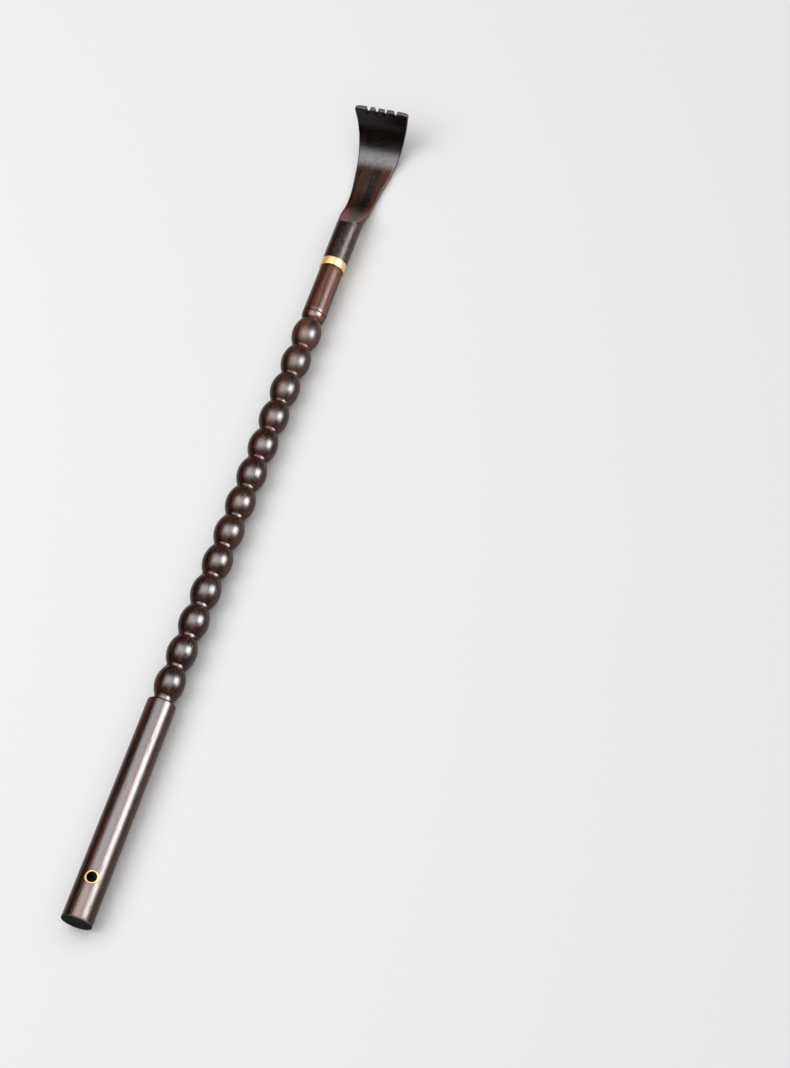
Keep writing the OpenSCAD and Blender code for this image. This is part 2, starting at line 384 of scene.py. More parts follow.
def make_liner(material):
    """A tube whose rounded lips follow the round of the grip."""
    grip_r = mix(BUTT_R, HANDLE_TOP_R, (HANG_X - BUTT_X) / HANDLE_LEN) + BUSH_PROUD
    straight = LINER_STRAIGHT * grip_r
    heights = [straight * level for level in LINER_LEVELS]
    upper = [Vector((BUSH_R, 0, z)) for z in heights]
    upper += liner_lip(BUSH_R - BUSH_LIP, grip_r - BUSH_LIP, 0, 90)
    upper += liner_lip(BUSH_BORE_R + BUSH_LIP, grip_r - BUSH_LIP, 90, 180)
    upper += [Vector((BUSH_BORE_R, 0, z)) for z in reversed(heights)]
    lower = [Vector((p.x, 0, -p.z)) for p in reversed(upper)][1:]
    piece = turn("brass_liner", upper + lower, (0, 0, 0), (0, 0, 1))
    for vertex in piece.data.vertices:
        drop = grip_r - sqrt(grip_r * grip_r - vertex.co.y * vertex.co.y)
        vertex.co.z -= drop * max(-1, min(1, vertex.co.z / straight))
    piece.rotation_euler = (HANG_TURN, 0, 0)
    piece.location = (HANG_X, 0, AXIS.z)
    return finish_piece(piece, "hang_bush", material, LINER_SMOOTH)


# The claw head: sections drawn out from the round neck, then filed teeth

SCOOP_X = HEAD_X + NECK_LEN
NECK_LOW = AXIS.z - NECK_R
SCOOP_DROP = AXIS.z + NECK_R - HEEL_T
SCOOP_RUN = sqrt(SCOOP_R * SCOOP_R - (SCOOP_R - SCOOP_DROP) * (SCOOP_R - SCOOP_DROP))
FACE_X = SCOOP_X + SCOOP_RUN
BEND_X = FACE_X + FACE_LEN
BEND_MIDDLE = Vector((BEND_X, 0, HEEL_T + BEND_R))
ARC_LEN = BEND_R * BEND_ANGLE
FLARE_X = SCOOP_X + FLARE_START
FLARE_LEN = BEND_X - FLARE_X + ARC_LEN + TIP_RUN
FLARE_SLOPE = (TIP_HALF_W - NECK_R) / (FLARE_LEN - FLARE_BLEND / 2)
ROOT_RUN = TIP_RUN - NOTCH_DEPTH
TIP_WAY = Vector((cos(BEND_ANGLE), 0, sin(BEND_ANGLE)))

# How finely the head is drawn
NECK_STEPS = 8
SCOOP_STEPS = 44
FACE_STEPS = 10
BEND_STEPS = 32
ROOT_STEPS = 3
BLANK_STEPS = 200
SIDE_STEPS = 16
CORNER_STEPS = 4
TOOTH_STEPS = 4
NOTCH_SEGMENTS = 5
EDGE_SEGMENTS = 3

# Edges that turn more than this are rounded: the hollow ones at the notches' roots, and the others
HOLLOW_ANGLE = radians(35)
SHARP_ANGLE = radians(40)


def half_width(s):
    """Half the width of the blade at a distance along it from the start of the flare."""
    if s <= 0:
        return NECK_R
    grown = s * s / (2 * FLARE_BLEND) if s < FLARE_BLEND else s - FLARE_BLEND / 2
    return NECK_R + FLARE_SLOPE * grown


# How far the points across the back of the blade reach, as a share of its half width
BACK_REACH = 0.9
ROOT_HALF_W = half_width(FLARE_LEN - NOTCH_DEPTH)
# The inner face is narrower than the back by its rounded edges
FACE_SPREAD = ROOT_HALF_W / (ROOT_HALF_W - FACE_EDGE)


def across_shares(notches, half_w):
    """Places across the blade, from its left side to its right, as shares of its half width."""
    sides = [y * MM / half_w for pair in notches for y in pair]
    between = [(sides[i] + sides[i + 1]) / 2 for i in range(1, len(sides) - 1, 2)]
    left = [BACK_REACH, (BACK_REACH + sides[0]) / 2]
    right = [(sides[-1] - BACK_REACH) / 2, -BACK_REACH]
    return sorted(left + sides + between + right, reverse=True)


def power_curve(v, power):
    return (1 if v >= 0 else -1) * abs(v) ** (2 / power)


def evenly(points, steps):
    """The points at equal distances along a chain, with both its ends."""
    lengths = [0]
    for (a, b), (c, d) in zip(points, points[1:]):
        lengths.append(lengths[-1] + sqrt((c - a) * (c - a) + (d - b) * (d - b)))
    spread = []
    at = 0
    for i in range(steps + 1):
        wanted = lengths[-1] * i / steps
        while at < len(points) - 2 and lengths[at + 1] < wanted:
            at += 1
        share = (wanted - lengths[at]) / max(lengths[at + 1] - lengths[at], TINY)
        spread.append(tuple(mix(p, q, share) for p, q in zip(points[at], points[at + 1])))
    return spread


def blank_side(half_w, low, high, power, from_share, top):
    """One side of the rounded blank, from a place under it up to the height top."""
    rise = (top - low) / (high if top > low else low)
    start = -acos(from_share ** (power / 2))
    stop = asin(max(-1, min(1, power_curve(rise, 4 / power))))
    chain = []
    for i in range(BLANK_STEPS + 1):
        a = mix(start, stop, i / BLANK_STEPS)
        out = power_curve(max(0, cos(a)), power)
        up = power_curve(sin(a), power)
        chain.append((half_w * out, low + up * (high if up > 0 else low)))
    return evenly(chain, SIDE_STEPS)


def section(half_w, low, high, power, top, across):
    """A closed section of the head as (across, up from its back) points. The blank is rounded and
    widest at the height low. Its upper side is cut flat at the height top, with a rounded edge."""
    reach = across[0]
    chord = blank_side(half_w, low, high, power, reach, top)[-1][0]
    edge = min(FACE_EDGE, chord / 3)
    side = blank_side(half_w, low, high, power, reach, top - edge)
    inner = side[-1][0] - edge
    turns = [radians(90 * i / CORNER_STEPS) for i in range(1, CORNER_STEPS + 1)]
    corner = [(inner + edge * cos(a), top - edge + edge * sin(a)) for a in turns]
    flank = side[1:] + corner
    depths = [low * (1 - abs(share) ** power) ** (1 / power) for share in across]
    back = [(half_w * share, low - depth) for share, depth in zip(across, depths)]
    face = [(inner * share * FACE_SPREAD, top) for share in reversed(across)]
    right = [(-y, z) for y, z in flank]
    left = list(reversed(flank))
    return back + right + face + left


def face_height(x):
    """The height of the scooped and level inner face above the table."""
    ahead = max(0, FACE_X - x)
    return HEEL_T + SCOOP_R - sqrt(SCOOP_R * SCOOP_R - ahead * ahead)


def upright_section(x, across, shrink=0):
    f = ease((x - SCOOP_X) / SCOOP_RUN)
    power = mix(NECK_POWER, BLADE_POWER, ease((x - SCOOP_X - ROUND_LEN) / FLATTEN_LEN))
    low = mix(NECK_R, HEEL_T * SIDE_SHARE, f)
    high = mix(NECK_R, HEEL_T * (1 - SIDE_SHARE) + BLANK_COVER, f)
    back = mix(NECK_LOW, 0, f)
    top = low + high if x <= SCOOP_X else face_height(x) - back
    points = section(half_width(x - FLARE_X), low, high, power, top, across)
    scale = 1 - shrink / NECK_R
    return [Vector((x, y * scale, mix(low, z, scale) + back)) for y, z in points]


def bent_section(angle, run, across, shrink=0):
    s = BEND_R * angle + run
    t = mix(HEEL_T, TIP_T, s / (ARC_LEN + TIP_RUN))
    low = t * SIDE_SHARE
    high = t * (1 - SIDE_SHARE) + BLANK_COVER
    half_w = half_width(BEND_X - FLARE_X + s) - shrink
    row = []
    for y, z in section(half_w, low, high, BLADE_POWER, t, across):
        r = BEND_R + t - z
        row.append(Vector((
            BEND_X + r * sin(angle) + run * cos(angle),
            y,
            HEEL_T + BEND_R - r * cos(angle) + run * sin(angle))))
    return row


def head_rows():
    """The sections from the joint face up to the roots of the notches."""
    across = across_shares(NOTCH_ROOTS, ROOT_HALF_W)
    rows = [upright_section(HEAD_X, across, NECK_EDGE)]
    for i in range(NECK_STEPS):
        rows.append(upright_section(mix(HEAD_X + NECK_EDGE, SCOOP_X, i / NECK_STEPS), across))
    for i in range(SCOOP_STEPS):
        rows.append(upright_section(SCOOP_X + SCOOP_RUN * (i / SCOOP_STEPS) ** 2, across))
    for i in range(FACE_STEPS):
        rows.append(upright_section(mix(FACE_X, BEND_X, i / FACE_STEPS), across))
    for i in range(BEND_STEPS):
        rows.append(bent_section(BEND_ANGLE * i / BEND_STEPS, 0, across))
    for i in range(ROOT_STEPS + 1):
        rows.append(bent_section(BEND_ANGLE, ROOT_RUN * i / ROOT_STEPS, across))
    return rows


def set_row(piece, row):
    """Puts the vertices of the one selected face on the points of a row."""
    shape = bmesh.from_edit_mesh(piece.data)
    end = next(face for face in shape.faces if face.select)
    for vertex, point in zip(end.verts, row):
        vertex.co = point
    bmesh.update_edit_mesh(piece.data)


def draw_head(rows):
    deselect()
    bpy.ops.mesh.primitive_circle_add(vertices=len(rows[0]), radius=NECK_R, fill_type="NGON")
    piece = bpy.context.object
    piece.name = "claw"
    piece.data.name = "claw"
    bpy.ops.object.mode_set(mode="EDIT")
    bpy.ops.mesh.select_mode(type="FACE")
    bpy.ops.mesh.select_all(action="SELECT")
    set_row(piece, rows[0])
    for row, before in zip(rows[1:], rows):
        bpy.ops.mesh.extrude_region_move(TRANSFORM_OT_translate={"value": row[0] - before[0]})
        set_row(piece, row)
    return piece


def past_roots(point, room=NEAR):
    """Whether a point lies past the roots of the notches, or short of them by no more than this."""
    return (point - BEND_MIDDLE).dot(TIP_WAY) > ROOT_RUN - room


def between_notches(y):
    return not any(right * MM < y < left * MM for left, right in NOTCH_ROOTS)


def is_tooth_root(face):
    middle = face.calc_center_median()
    return past_roots(middle) and between_notches(middle.y)


def split_end(piece, row):
    """Divides the end of the blade into teeth and notches."""
    for side in [y * MM for pair in NOTCH_ROOTS for y in pair]:
        ends = [p for p in row if abs(p.y - side) < NEAR]
        pick(piece, "VERT", lambda v: any((v.co - p).length < SAME for p in ends))
        bpy.ops.mesh.vert_connect()


def extrude_teeth(piece, before, row):
    step = row[0] - before[0]
    bpy.ops.mesh.extrude_region_move(TRANSFORM_OT_translate={"value": step})
    shape = bmesh.from_edit_mesh(piece.data)
    for vertex in shape.verts:
        if vertex.select:
            came_from = vertex.co - step
            nearest = min(range(len(row)), key=lambda i: (before[i] - came_from).length)
            vertex.co = row[nearest]
    bmesh.update_edit_mesh(piece.data)


def draw_teeth(piece, root_row):
    """Draws the teeth out of the end of the blade, up to their rounded corners."""
    split_end(piece, root_row)
    pick(piece, "FACE", is_tooth_root)
    before = root_row
    for a in [radians(90 * i / TOOTH_STEPS) for i in range(TOOTH_STEPS + 1)]:
        run = TIP_RUN - TOOTH_CORNER_R * (1 - sin(a))
        inset = TOOTH_CORNER_R * (1 - cos(a))
        share = (run - ROOT_RUN) / NOTCH_DEPTH
        sides = [tuple(mix(p, q, share) for p, q in zip(*pair))
                 for pair in zip(NOTCH_ROOTS, NOTCH_MOUTHS)]
        half_w = half_width(FLARE_LEN - TIP_RUN + run) - inset
        row = bent_section(BEND_ANGLE, run, across_shares(sides, half_w), inset)
        extrude_teeth(piece, before, row)
        before = row


def sharp(edge, least):
    return len(edge.link_faces) == 2 and edge.calc_face_angle(0) > least


def is_hollow_edge(edge):
    return (sharp(edge, HOLLOW_ANGLE) and not edge.is_convex
            and all(past_roots(v.co) for v in edge.verts))


def is_tooth_edge(edge):
    return (sharp(edge, SHARP_ANGLE) and edge.is_convex
            and all(past_roots(v.co, NEAR + NOTCH_ROOT_R) for v in edge.verts))


def round_teeth(piece):
    """Rounds the roots of the notches, then breaks every sharp edge of the teeth."""
    pick(piece, "EDGE", is_hollow_edge)
    bpy.ops.mesh.bevel(offset=NOTCH_ROOT_R, segments=NOTCH_SEGMENTS, clamp_overlap=True)
    pick(piece, "EDGE", is_tooth_edge)
    bpy.ops.mesh.bevel(offset=TOOTH_EDGE, segments=EDGE_SEGMENTS, clamp_overlap=True)


def is_joint_face(face):
    return face.normal.x < -0.9 and abs(face.calc_center_median().x - HEAD_X) < NEAR


def bore_socket(piece):
    pick(piece, "FACE", is_joint_face)
    bpy.ops.mesh.inset(thickness=NECK_R - NECK_EDGE - SOCKET_R)
    bpy.ops.mesh.extrude_region_move(TRANSFORM_OT_translate={"value": (SOCKET_LEN, 0, 0)})


def make_head(material):
    rows = head_rows()
    piece = draw_head(rows)
    draw_teeth(piece, rows[-1])
    bpy.ops.mesh.select_all(action="SELECT")
    bpy.ops.mesh.remove_doubles(threshold=2 * SAME)
    bpy.ops.mesh.normals_make_consistent(inside=False)
    round_teeth(piece)
    bore_socket(piece)
    bpy.ops.object.mode_set(mode="OBJECT")
    return finish_piece(piece, "claw_head", material, HEAD_SMOOTH)


# Helpers for materials

# The sockets of a mix node that take and give colours
MIX_FACTOR, MIX_FIRST, MIX_SECOND, MIX_RESULT = 0, 6, 7, 2
# The levels between which most of a noise lies, its middle, and the detail of banded noise
NOISE_LEVELS = (0.3, 0.7)
NOISE_MIDDLE = (0.5, 0.5, 0.5)
BAND_DETAIL = 3.0


def add_node(tree, kind, inputs=None, **settings):
    """A node with its settings, its inputs set to values or joined to other nodes' outputs."""
    made = tree.nodes.new(kind)
    for name, value in settings.items():
        setattr(made, name, value)
    for name, value in (inputs or {}).items():
        if isinstance(value, bpy.types.NodeSocket):
            tree.links.new(value, made.inputs[name])
        else:
            made.inputs[name].default_value = value
    return made


def new_material(name):
    material = bpy.data.materials.new(name)
    material.use_nodes = True
    return material, material.node_tree, material.node_tree.nodes["Principled BSDF"]


def work_out(tree, operation, *values):
    """The result of one operation on patterns and numbers."""
    made = add_node(tree, "ShaderNodeMath", dict(enumerate(values)), operation=operation)
    return made.outputs["Value"]


def work_out_vector(tree, operation, *values):
    """The result of one operation on vectors, which is a number for a length or a dot product."""
    made = add_node(tree, "ShaderNodeVectorMath", dict(enumerate(values)), operation=operation)
    return made.outputs["Value" if operation in ("LENGTH", "DOT_PRODUCT") else "Vector"]


def times(tree, first, *others):
    """The product of patterns and numbers."""
    for other in others:
        first = work_out(tree, "MULTIPLY", first, other)
    return first


def split(tree, place):
    return add_node(tree, "ShaderNodeSeparateXYZ", {"Vector": place}).outputs


def ramp(tree, factor, stops):
    """A colour ramp with its stops given as (place, colour)."""
    made = add_node(tree, "ShaderNodeValToRGB", {"Fac": factor})
    line = made.color_ramp.elements
    while len(line) < len(stops):
        line.new(0.5)
    for element, (place, colour) in zip(line, stops):
        element.position = place
        element.color = (*colour, 1)
    return made.outputs["Color"]


def window(tree, factor, levels, to=(0.0, 1.0), kind="LINEAR"):
    """Spreads the part of a pattern between two levels over a new range."""
    made = add_node(tree, "ShaderNodeMapRange", {
        "Value": factor, "From Min": levels[0], "From Max": levels[1],
        "To Min": to[0], "To Max": to[1]}, interpolation_type=kind)
    return made.outputs["Result"]


def stretched_noise(tree, place, along, across, detail=2.0, rough=0.5, output="Fac"):
    """Noise whose grains are so long along the shaft and so wide across it, in millimetres."""
    scaled = add_node(tree, "ShaderNodeMapping", {
        "Vector": place, "Scale": (1 / along, 1 / across, 1 / across)})
    made = add_node(tree, "ShaderNodeTexNoise", {
        "Vector": scaled.outputs["Vector"], "Scale": 1.0, "Detail": detail, "Roughness": rough})
    return made.outputs[output]


def banded_noise(tree, distance, width, rough):
    """Uneven bands of about this width that follow a distance, in millimetres."""
    made = add_node(tree, "ShaderNodeTexNoise", {
        "W": distance, "Scale": 1 / width, "Detail": BAND_DETAIL, "Roughness": rough},
        noise_dimensions="1D")
    return made.outputs["Fac"]


def blend(tree, first, second, share):
    """Part of one pattern and the rest of another."""
    made = add_node(tree, "ShaderNodeMix", data_type="FLOAT")
    made.inputs["Factor"].default_value = share
    tree.links.new(first, made.inputs["A"])
    tree.links.new(second, made.inputs["B"])
    return made.outputs["Result"]


def blend_colour(tree, kind, factor, first, second):
    made = add_node(tree, "ShaderNodeMix", data_type="RGBA", blend_type=kind)
    for socket, value in ((MIX_FACTOR, factor), (MIX_FIRST, first), (MIX_SECOND, second)):
        if isinstance(value, bpy.types.NodeSocket):
            tree.links.new(value, made.inputs[socket])
        elif socket == MIX_FACTOR:
            made.inputs[socket].default_value = value
        else:
            made.inputs[socket].default_value = (*value, 1)
    return made.outputs[MIX_RESULT]


def add_bump(tree, shader, height, strength, distance):
    bump = add_node(tree, "ShaderNodeBump", {
        "Strength": strength, "Distance": distance, "Height": height})
    tree.links.new(bump.outputs["Normal"], shader.inputs["Normal"])


# Rosewood

ROSEWOOD_STOPS = (
    (0.37, (0.0050, 0.0020, 0.0013)),
    (0.46, (0.0220, 0.0070, 0.0036)),
    (0.54, (0.0620, 0.0170, 0.0075)),
    (0.66, (0.1300, 0.0400, 0.0170)),
)
PORE_COLOUR = (0.004, 0.0022, 0.0018)
BUTT_COLOUR = (0.0025, 0.0018, 0.0016)
# Painted sheen: the grey of the filed tooth ends stands in for the light they catch
FILED_SHEEN_COLOUR = (0.046, 0.039, 0.040)

# How the grain of each piece lies: its lean, where the pith runs beside the piece, and how wide its
# layers, streaks and pores are, in millimetres
SHAFT_GRAIN = {
    "lean": (0, radians(1.2), radians(-1.0)), "pith": (26, -30),
    "layer_width": 2.4, "streak_width": 2.6, "pore_width": 0.6}
HEAD_GRAIN = {
    "lean": (0, 0, radians(0.5)), "pith": (-34, 4),
    "layer_width": 6.0, "streak_width": 5.5, "pore_width": 0.35}

# Lengths and widths of the grain in both pieces, in millimetres
WAVER = 5
WAVER_LEN = 130
WAVER_WIDTH = 26
STREAK_LEN = 120
FIBRE_LEN = 16
FIBRE_WIDTH = 0.4

# How uneven and how strong each part of the grain is
LAYER_UNEVEN = 0.62
FIBRE_UNEVEN = 0.6
STREAK_SHARE = 0.42
FIBRE_SHARE = 0.18
PORE_STRETCH = 12
PORE_LEVELS = (0.58, 0.70)
PORE_STRENGTH = 0.8

# The finish of the wood
WOOD_ROUGH = (0.21, 0.27)
PORE_ROUGH = 0.22
PORE_DEPTH = 0.6
WOOD_BUMP = 0.5
WOOD_RELIEF = 0.06 * MM
WOOD_SPECULAR = 0.2

# Where the wood changes along the shaft and the head, in millimetres
BUTT = BUTT_X / MM
GRIP_END = (BUTT_X + HANDLE_LEN) / MM
BEADS_END = GRIP_END + (ROOT_LEN + BEAD_COUNT * BEAD_PITCH - COLLAR_LEN) / MM
STEM_TOP = STEM_TOP_X / MM
SCOOP_FROM = SCOOP_X / MM
BEND_FROM = BEND_X / MM
BUTT_FADE = (BUTT + 0.2, BUTT + 1.5)
GRIP_FADE = (GRIP_END - 5, GRIP_END + 12)
MATT_RISE = (STEM_TOP - 140, BEADS_END)
MATT_STOP = (BEADS_END, BEADS_END + 0.5)
STEM_FADE = (STEM_TOP - 60, STEM_TOP - 25)
NECK_FADE = (SCOOP_FROM, SCOOP_FROM + 16)
GOUGE_FADE = (SCOOP_FROM + 3, SCOOP_FROM + 20)
# Painted shade: where the wood darkens to nearly black towards the teeth, on the upturned face that
# lies in shade
TIP_SHADE_FADE = (BEND_FROM - 3, BEND_FROM + 8)
# The same beside the head's middle line, outside the scoop's arc and short of the teeth's ends
HEART_FADE = (1.0, 4.2)
HOLLOW_FADE = (SCOOP_R / MM + 0.1, SCOOP_R / MM + 0.5)
FILED_FROM = 0.5
FILED_TO = 0.15

# Tones of the wood, as shares of its own colour
GRIP_TONE = 0.92
BEAD_TONE = 0.52
STEM_MORE = 0.95
HEART_TONE = 0.15
HEAD_TONE = 0.66
NECK_TONE = 0.75
GOUGED_MORE = 0.6
# Painted shade: the share the upturned end is darkened to towards the teeth
TIP_PAINTED_SHADE = 0.10

# How much rougher the wood is than where it is polished
BUTT_DULL = 0.7
BEAD_DULL = 0.09
GOUGED_DULL = 0.6
FILED_DULL = 0.4


def in_millimetres(tree):
    coords = add_node(tree, "ShaderNodeTexCoord").outputs["Object"]
    scaled = add_node(tree, "ShaderNodeVectorMath", {0: coords, "Scale": 1 / MM}, operation="SCALE")
    return scaled.outputs["Vector"]


def grain_place(tree, bare, lean):
    """The coordinates leaning a little to the grain and wavering along it."""
    leaning = add_node(tree, "ShaderNodeMapping", {"Vector": bare, "Rotation": lean})
    place = leaning.outputs["Vector"]
    waver = stretched_noise(tree, place, WAVER_LEN, WAVER_WIDTH, 1.0, output="Color")
    centred = work_out_vector(tree, "SUBTRACT", waver, NOISE_MIDDLE)
    return work_out_vector(tree, "MULTIPLY_ADD", centred, (0, WAVER, WAVER), place)


def growth_layers(tree, place, pith, width):
    """Bands that follow the distance from the pith, which runs beside the piece."""
    flat = work_out_vector(tree, "MULTIPLY_ADD", place, (0, 1, 1), (0, -pith[0], -pith[1]))
    return banded_noise(tree, work_out_vector(tree, "LENGTH", flat), width, LAYER_UNEVEN)


def short_pores(tree, place, width):
    noise = stretched_noise(tree, place, PORE_STRETCH * width, width, 1.0)
    return window(tree, noise, PORE_LEVELS, (0.0, PORE_STRENGTH))


def in_scoop(tree, bare):
    """The hollow that the gouge cut, told by its distance from the middle of the scoop's arc."""
    middle = Vector((FACE_X, 0, HEEL_T + SCOOP_R)) / MM
    away = work_out_vector(tree, "SUBTRACT", bare, middle)
    flat = work_out_vector(tree, "MULTIPLY", away, (1, 0, 1))
    return window(tree, work_out_vector(tree, "LENGTH", flat), HOLLOW_FADE, (1.0, 0.0))


def filed_ends(tree, bare):
    """The ends of the teeth, which the file left dull, and whose grey is a painted sheen."""
    reach = work_out_vector(tree, "DOT_PRODUCT", bare, TIP_WAY)
    end = (BEND_MIDDLE.dot(TIP_WAY) + TIP_RUN) / MM
    return window(tree, reach, (end - FILED_FROM, end - FILED_TO))


def shaft_marks(tree, bare, place):
    """The shaft is darkest along the beads and reddest on the stem above them. Its upper beads are
    a little matt, and its butt end is dull."""
    along = split(tree, bare)["X"]
    grip = window(tree, along, GRIP_FADE, (GRIP_TONE, BEAD_TONE))
    stem = window(tree, along, STEM_FADE, (0.0, STEM_MORE))
    butt = window(tree, along, BUTT_FADE, (1.0, 0.0))
    rising = window(tree, along, MATT_RISE, (0.0, BEAD_DULL))
    matt = times(tree, rising, window(tree, along, MATT_STOP, (1.0, 0.0)))
    tone = work_out(tree, "ADD", grip, stem)
    dull = work_out(tree, "MULTIPLY_ADD", butt, BUTT_DULL, matt)
    return tone, butt, dull


def head_marks(tree, bare, place):
    """A dark heart streak along the middle of the head, painted shade that makes the wood nearly
    black towards the teeth, a redder and duller start of the scoop, and duller filed ends whose
    grey is a painted sheen."""
    along = split(tree, bare)["X"]
    beside = work_out(tree, "ABSOLUTE", split(tree, place)["Y"])
    streak = window(tree, beside, HEART_FADE, (HEART_TONE, HEAD_TONE))
    # Painted shade: the wood darkens to nearly black towards the teeth, where the upturned face
    # lies in shade
    painted_tip_shade = window(tree, along, TIP_SHADE_FADE, (1.0, TIP_PAINTED_SHADE))
    # The filed ends are duller, and their grey is a painted sheen of the light they catch
    filed_and_sheen = filed_ends(tree, bare)
    scooped = in_scoop(tree, bare)
    gouge = window(tree, along, GOUGE_FADE, (1.0, 0.0), "SMOOTHSTEP")
    gouged = times(tree, scooped, gouge)
    fresh = work_out(tree, "MULTIPLY_ADD", gouged, GOUGED_MORE, 1.0)
    round_side = window(tree, along, NECK_FADE, (NECK_TONE, 1.0))
    neck = work_out(tree, "MAXIMUM", scooped, round_side)
    tone = times(tree, streak, painted_tip_shade, neck, fresh)
    filed_dull = times(tree, filed_and_sheen, FILED_DULL)
    dull = work_out(tree, "MAXIMUM", filed_dull, times(tree, gouged, GOUGED_DULL))
    return tone, filed_and_sheen, dull


def rosewood(name, grain, marks, end_colour):
    """Dark polished rosewood: growth layers, streaks, fine fibres and short open pores. The marks
    give its tone from place to place, where it has the colour of its end, and how much rougher it
    is than polished wood."""
    material, tree, shader = new_material(name)
    bare = in_millimetres(tree)
    place = grain_place(tree, bare, grain["lean"])
    tone, end, dull = marks(tree, bare, place)
    layers = growth_layers(tree, place, grain["pith"], grain["layer_width"])
    streaks = stretched_noise(tree, place, STREAK_LEN, grain["streak_width"])
    fibres = stretched_noise(tree, place, FIBRE_LEN, FIBRE_WIDTH, rough=FIBRE_UNEVEN)
    pores = short_pores(tree, place, grain["pore_width"])
    figure = blend(tree, layers, streaks, STREAK_SHARE)
    figure = blend(tree, figure, fibres, FIBRE_SHARE)
    colour = ramp(tree, figure, ROSEWOOD_STOPS)
    colour = blend_colour(tree, "MULTIPLY", 1.0, colour, tone)
    colour = blend_colour(tree, "MIX", pores, colour, PORE_COLOUR)
    colour = blend_colour(tree, "MIX", end, colour, end_colour)
    tree.links.new(colour, shader.inputs["Base Color"])
    worn = window(tree, streaks, NOISE_LEVELS, WOOD_ROUGH)
    pitted = work_out(tree, "MULTIPLY_ADD", pores, PORE_ROUGH, worn)
    tree.links.new(work_out(tree, "ADD", pitted, dull), shader.inputs["Roughness"])
    height = work_out(tree, "MULTIPLY_ADD", pores, -PORE_DEPTH, fibres)
    add_bump(tree, shader, height, WOOD_BUMP, WOOD_RELIEF)
    shader.inputs["Specular IOR Level"].default_value = WOOD_SPECULAR
    return material


# Brass

BRASS_STOPS = (
    (0.30, (0.76, 0.47, 0.19)),
    (0.55, (0.85, 0.56, 0.26)),
    (0.75, (0.91, 0.66, 0.36)),
)
AGED_BRASS = (0.020, 0.014, 0.008)

# Widths of the tool lines, of the tarnish and of the rim of the aged part, in millimetres
LINE_WIDTH = 0.2
TARNISH_WIDTH = 2.5
AGED_RIM = 0.15

LINE_UNEVEN = 0.7
TARNISH_UNEVEN = 0.6
LINE_SHARE = 0.3
BRASS_ROUGH = (0.40, 0.28)
BRASS_BUMP = 0.25
BRASS_RELIEF = 0.02 * MM

# How far from its axis the metal is clean, in millimetres: all of the ring, and the liner outside
# its bore
RING_CLEAN_FROM = -1
LINER_CLEAN_FROM = BUSH_BORE_R / MM + 0.02


def brass(name, middle, lean, spin, clean_from):
    """Satin brass with tool lines that run around an axis: spin keeps the axes that the lines
    cross. Nearer to that axis than clean_from, in millimetres, the metal is black with age."""
    material, tree, shader = new_material(name)
    coords = add_node(tree, "ShaderNodeTexCoord").outputs["Object"]
    shift = work_out_vector(tree, "SUBTRACT", coords, middle)
    turned = add_node(tree, "ShaderNodeMapping", {
        "Vector": shift, "Rotation": lean, "Scale": (1 / MM, 1 / MM, 1 / MM)})
    place = turned.outputs["Vector"]
    kept = work_out_vector(tree, "MULTIPLY", place, spin)
    away = work_out_vector(tree, "LENGTH", kept)
    lines = banded_noise(tree, away, LINE_WIDTH, LINE_UNEVEN)
    tarnish = stretched_noise(tree, place, TARNISH_WIDTH, TARNISH_WIDTH, 3.0, TARNISH_UNEVEN)
    tone = blend(tree, tarnish, lines, LINE_SHARE)
    clean = window(tree, away, (clean_from, clean_from + AGED_RIM))
    colour = blend_colour(tree, "MIX", clean, AGED_BRASS, ramp(tree, tone, BRASS_STOPS))
    tree.links.new(colour, shader.inputs["Base Color"])
    rough = window(tree, tarnish, NOISE_LEVELS, BRASS_ROUGH)
    tree.links.new(rough, shader.inputs["Roughness"])
    add_bump(tree, shader, lines, BRASS_BUMP, BRASS_RELIEF)
    shader.inputs["Metallic"].default_value = 1.0
    return material


# The stage: floor, lamps and camera

FLOOR_SIZE = 60.0
FLOOR_COLOUR = (0.87, 0.87, 0.87, 1)
FLOOR_ROUGH = 0.9
FLOOR_SPECULAR = 0.1
WORLD_STRENGTH = 0.04

# The camera's lens, its place from the middle of the butt end, and the way its picture lies
PHOTO_H = 1068
FOCAL_PIXELS = 2650.1
SENSOR = 36.0
CLIP_START = 0.05
CLIP_END = 100
CAMERA_FROM_BUTT = Vector((-0.3517, -0.4401, 1.1850))
CAMERA_FORWARD = Vector((0.43400, 0.25822, -0.86312)).normalized()
CAMERA_RIGHT = Vector((0.30455, -0.94370, -0.12919))

# Lamps for the plain level of light: place along the shaft, turn around it in degrees, distance,
# (length, width) and brightness
SOFT_LIGHT = (-0.2, 30, 1.5, (1.1, 1.1), 2.2)
WOOD_LIGHT = (0.2, -52, 1.5, (1.1, 1.1), 4.4)
SKY = (0, 0, 8, (24, 24), 0.93)

# Panels that only show as reflections: place along the shaft, turn around it in degrees, distance,
# and their layers from the widest, as ((length, width), brightness)
BROAD_PANEL = (0.12, -3.5, 1.2, (((1.24, 1.9), 4), ((0.90, 1.45), 13), ((0.55, 0.9), 23)))
SIDE_PANEL = (0.43, -58, 1.37, (((0.92, 1.35), 12), ((0.78, 0.96), 34), ((0.52, 0.6), 86)))
NECK_PANEL = (1.1, -58, 1.6, (((0.6, 0.7), 5), ((0.4, 0.4), 14)))
METAL_PANEL = (0.6, 8, 1.4, (((1.8, 2.2), 1.3), ((1.08, 1.32), 2.1)))
METAL_LEFT = (0.5, 62, 1.5, (((2.0, 1.2), 0.5), ((1.2, 0.72), 0.7)))
METAL_SIDE = (0.8, -56, 1.5, (((1.2, 1.1), 5.0), ((0.72, 0.66), 11.0)))
# How far each layer hangs in front of the one behind it
LAYER_GAP = 0.01


